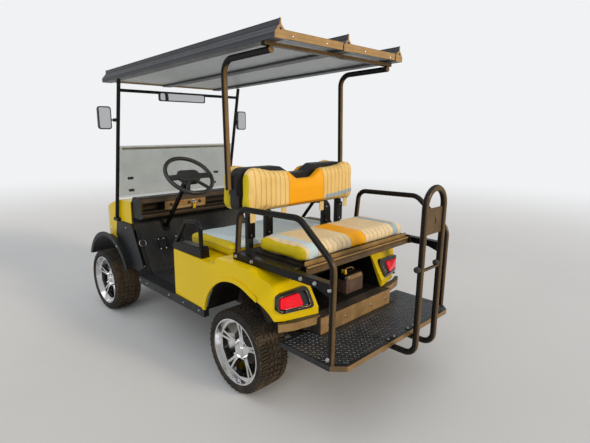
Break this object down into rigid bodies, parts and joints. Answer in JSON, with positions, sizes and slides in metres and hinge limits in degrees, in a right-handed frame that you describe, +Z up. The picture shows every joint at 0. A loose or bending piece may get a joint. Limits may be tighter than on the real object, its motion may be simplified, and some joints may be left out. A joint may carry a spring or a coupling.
{
  "type": "golf cart",
  "caption": "Open golf cart with a bench seat in front, a rear-facing flip seat with footplate and grab bar, a long roof and polished wheels.",
  "frame": {"origin": "middle of the overall length and width, on the ground under the tyres", "axes": "+X forward along the cart, +Y to the driver's left, +Z up"},
  "size_m": [2.8586, 1.306, 1.9379],
  "materials": {
    "black_steel": "black powder coat on round and square tube, half gloss",
    "axle_steel": "dull dark chassis paint, dusty",
    "spring_steel": "dull dark paint on leaf springs",
    "aluminium_frame": "bare extruded aluminium rails",
    "yellow_body": "gloss yellow paint on a moulded body",
    "black_plastic": "black grained moulded plastic",
    "charger_case": "grey brown case, dusty",
    "battery": "dark battery cases",
    "lamp_red": "red lens",
    "lamp_clear": "clear lens",
    "windshield_tint": "smoky clear sheet",
    "roof_dark": "anthracite profile with fine grooves",
    "roof_pale": "pale twin wall sheet",
    "seat_vinyl": "cream pleated vinyl with yellow panels",
    "tyre_rubber": "black rubber with an all terrain tread",
    "polished_alloy": "polished wheel alloy",
    "cast_steel": "forged steel, dull",
    "diamond_plate": "black coated tread plate",
    "grip_black": "soft black steering wheel grip",
    "mirror_case": "black mirror cases"
  },
  "bodies": {
    "chassis": {"frame": "aluminium_frame", "rear_axle": "axle_steel", "drive_motor": "axle_steel", "rear_springs": "spring_steel", "front_springs": "spring_steel", "front_axle_beam": "axle_steel", "floor_pan": "black_plastic", "sills": "black_plastic", "battery_pack": "battery", "rear_body": "yellow_body", "arch_liners": "black_plastic", "rear_well": "black_plastic", "well_charger": "charger_case", "tail_lamp_bezels": "black_plastic", "tail_lamp_lenses": "lamp_red", "rear_bumper": "black_plastic", "front_cowl": "yellow_body", "front_fenders": "black_plastic", "front_bumper": "black_plastic", "headlamps": "lamp_clear", "dash": "black_plastic", "steering_column": "black_steel", "pedals": "black_steel", "front_struts": "black_steel", "windshield": "windshield_tint", "windshield_hinge": "black_plastic", "rear_struts": "black_steel", "roof_frame": "roof_dark", "roof_panels": "roof_pale", "side_mirrors": "mirror_case", "centre_mirror": "mirror_case", "rear_back_cushion": "seat_vinyl", "front_back_cushion": "seat_vinyl", "back_shell": "black_plastic", "armrests": "black_steel", "seat_frame": "black_steel", "seat_deck": "black_plastic", "footplate": "diamond_plate", "grab_bar": "black_steel"},
    "front_left_knuckle": {"front_left_knuckle": "cast_steel"},
    "front_right_knuckle": {"front_right_knuckle": "cast_steel"},
    "tie_rod": {"tie_rod": "cast_steel"},
    "steering_wheel": {"steering_wheel": "grip_black"},
    "front_seat": {"front_cushion": "seat_vinyl"},
    "rear_seat": {"flip_panel": "black_steel", "rear_cushion": "seat_vinyl"},
    "rear_left_wheel": {"rear_left_tyre": "tyre_rubber", "rear_left_rim": "polished_alloy"},
    "rear_right_wheel": {"rear_right_tyre": "tyre_rubber", "rear_right_rim": "polished_alloy"},
    "front_left_wheel": {"front_left_tyre": "tyre_rubber", "front_left_rim": "polished_alloy"},
    "front_right_wheel": {"front_right_tyre": "tyre_rubber", "front_right_rim": "polished_alloy"}
  },
  "joints": [
    {"name": "rear_left_spin", "type": "hinge", "parent": "chassis", "child": "rear_left_wheel", "pos_m": [-0.58375, 0.47, 0.2395], "axis": [0, 1, 0], "continuous": true},
    {"name": "rear_right_spin", "type": "hinge", "parent": "chassis", "child": "rear_right_wheel", "pos_m": [-0.58375, -0.47, 0.2395], "axis": [0, 1, 0], "continuous": true},
    {"name": "front_left_steer", "type": "hinge", "parent": "chassis", "child": "front_left_knuckle", "pos_m": [1.06725, 0.345, 0.2395], "axis": [0, 0, 1], "range_deg": [-28, 28]},
    {"name": "front_left_spin", "type": "hinge", "parent": "front_left_knuckle", "child": "front_left_wheel", "pos_m": [1.06725, 0.498, 0.2395], "axis": [0, 1, 0], "continuous": true},
    {"name": "front_right_steer", "type": "hinge", "parent": "chassis", "child": "front_right_knuckle", "pos_m": [1.06725, -0.345, 0.2395], "axis": [0, 0, 1], "range_deg": [-28, 28]},
    {"name": "front_right_spin", "type": "hinge", "parent": "front_right_knuckle", "child": "front_right_wheel", "pos_m": [1.06725, -0.498, 0.2395], "axis": [0, 1, 0], "continuous": true},
    {"name": "tie_rod_slide", "type": "slide", "parent": "chassis", "child": "tie_rod", "axis": [0, -1, 0], "range_m": [-0.06, 0.06]},
    {"name": "steering_wheel_turn", "type": "hinge", "parent": "chassis", "child": "steering_wheel", "pos_m": [0.29625, 0.262, 1.122], "axis": [-0.6428, 0, 0.766], "range_deg": [-392.1, 392.1]},
    {"name": "front_seat_lift", "type": "hinge", "parent": "chassis", "child": "front_seat", "pos_m": [-0.43375, 0, 0.77], "axis": [0, -1, 0], "range_deg": [0, 50]},
    {"name": "rear_seat_flip", "type": "hinge", "parent": "chassis", "child": "rear_seat", "pos_m": [-1.01375, 0, 0.8033], "axis": [0, -1, 0], "range_deg": [0, 180]}
  ],
  "couplings": [
    {"joint": "front_right_steer", "follows": "front_left_steer", "ratio": 1},
    {"joint": "tie_rod_slide", "follows": "front_left_steer", "m_per_rad": 0.118},
    {"joint": "steering_wheel_turn", "follows": "front_left_steer", "ratio": 14}
  ]
}
